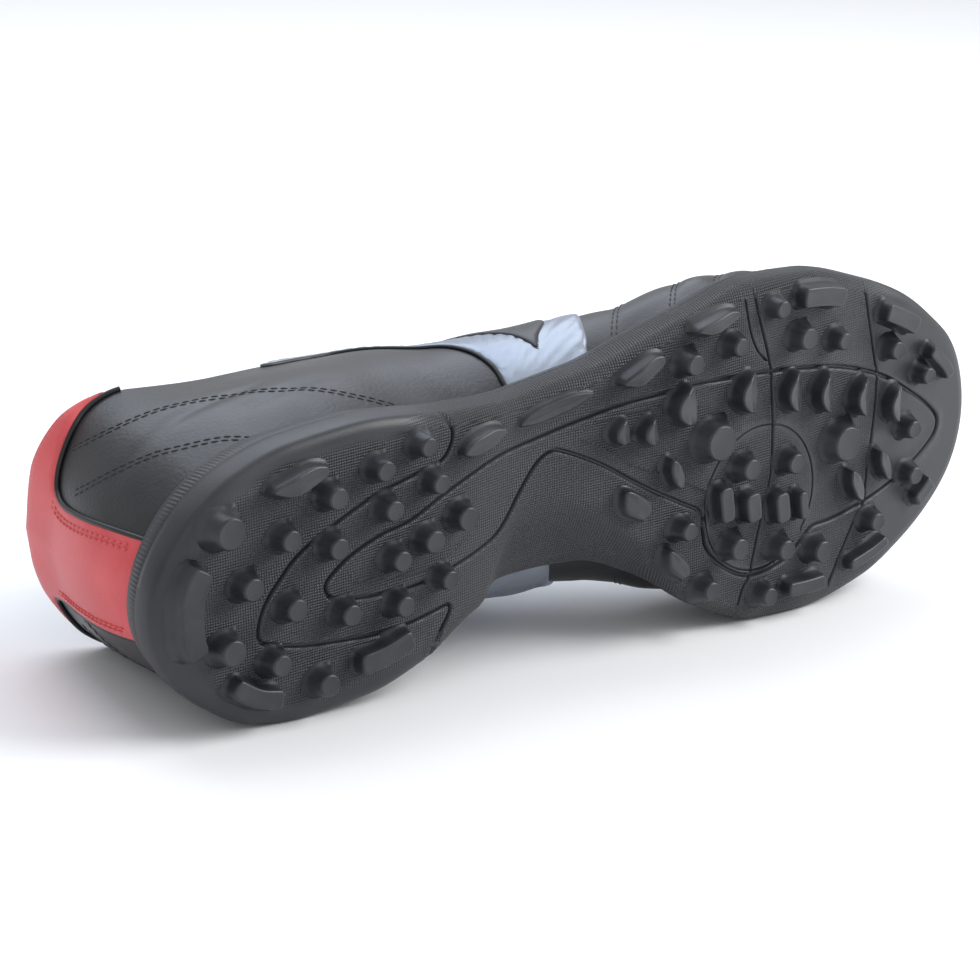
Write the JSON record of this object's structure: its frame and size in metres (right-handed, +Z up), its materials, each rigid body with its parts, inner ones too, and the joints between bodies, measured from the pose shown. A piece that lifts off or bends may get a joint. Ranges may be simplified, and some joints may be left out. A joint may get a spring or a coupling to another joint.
{
  "type": "turf shoe",
  "caption": "Low-cut laced turf shoe for the right foot with a short-studded rubber cup sole, leather upper and heel panel, lying on its inner side.",
  "frame": {"origin": "centre of the underside of the bounding box, on the floor that the shoe lies on", "axes": "+X from heel to toe, +Y from the tread to the collar, +Z up: the shoe lies on its inner side"},
  "size_m": [0.2854, 0.1092, 0.0992],
  "materials": {
    "black_rubber": "satin moulded rubber with a fine knurl",
    "black_leather": "semi-gloss fine grain",
    "red_leather": "satin fine grain",
    "silver_leather": "pearly metallic",
    "tongue_leather": "soft matt",
    "lining": "matt knit",
    "lace": "flat woven lace"
  },
  "bodies": {
    "root": {"outsole": "black_rubber", "upper": "black_leather", "eyestay": "black_leather", "heel_counter": "red_leather", "side_panel_lateral": "silver_leather", "side_panel_medial": "silver_leather", "tongue": "tongue_leather", "insole": "lining", "laces": "lace"}
  },
  "joints": []
}
